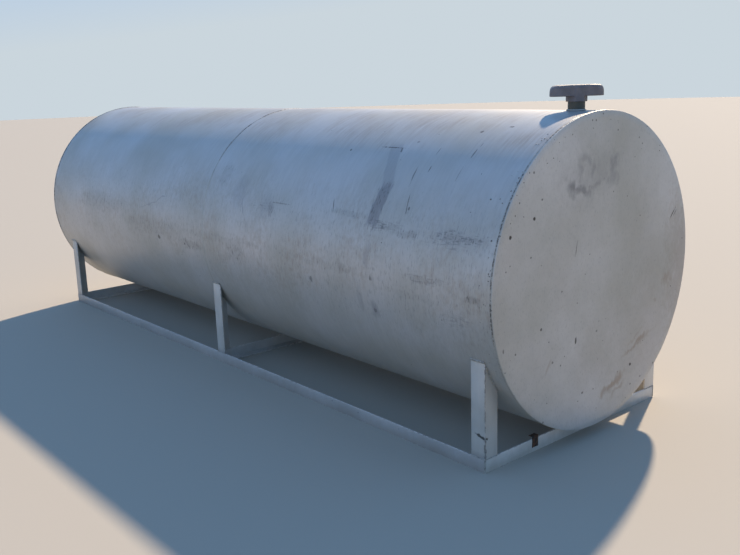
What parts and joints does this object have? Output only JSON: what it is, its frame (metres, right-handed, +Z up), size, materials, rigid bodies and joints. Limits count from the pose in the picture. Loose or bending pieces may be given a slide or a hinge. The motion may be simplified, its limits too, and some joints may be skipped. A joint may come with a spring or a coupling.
{
  "type": "horizontal storage tank on a skid frame",
  "caption": "Horizontal cylindrical steel storage tank with flat heads, carried on an angle-iron skid frame by short posts, with a double-outlet vent on top.",
  "frame": {"origin": "on the ground plane under the middle of the tank, which is the centre of the bounding box's underside", "axes": "+X along the tank's axis towards the vent end, +Y towards the rear side, +Z up"},
  "size_m": [3.6676, 1.1552, 1.2901],
  "materials": {
    "silver_paint": "weathered aluminium paint on steel plate",
    "weld_bead": "rough weld metal under thin paint",
    "cast_vent": "sand-cast, dull grey paint",
    "rusty_steel": "bare steel with brown rust"
  },
  "bodies": {
    "root": {"near_shell_course": "silver_paint", "far_shell_course": "silver_paint", "near_head": "silver_paint", "far_head": "silver_paint", "girth_weld": "weld_bead", "near_head_weld": "weld_bead", "far_head_weld": "weld_bead", "course_seam_welds": "weld_bead", "front_rail": "silver_paint", "rear_rail": "silver_paint", "near_end_rail": "silver_paint", "far_end_rail": "silver_paint", "middle_cross_member": "silver_paint", "near_front_post": "silver_paint", "near_rear_post": "silver_paint", "middle_front_post": "silver_paint", "middle_rear_post": "silver_paint", "far_front_post": "silver_paint", "far_rear_post": "silver_paint", "post_head_welds": "weld_bead", "post_foot_welds": "weld_bead", "rail_corner_welds": "weld_bead", "vent_nipple": "cast_vent", "vent_nipple_weld": "weld_bead", "vent_body": "cast_vent", "vent_screens": "weld_bead", "strap_stub": "rusty_steel"}
  },
  "joints": []
}
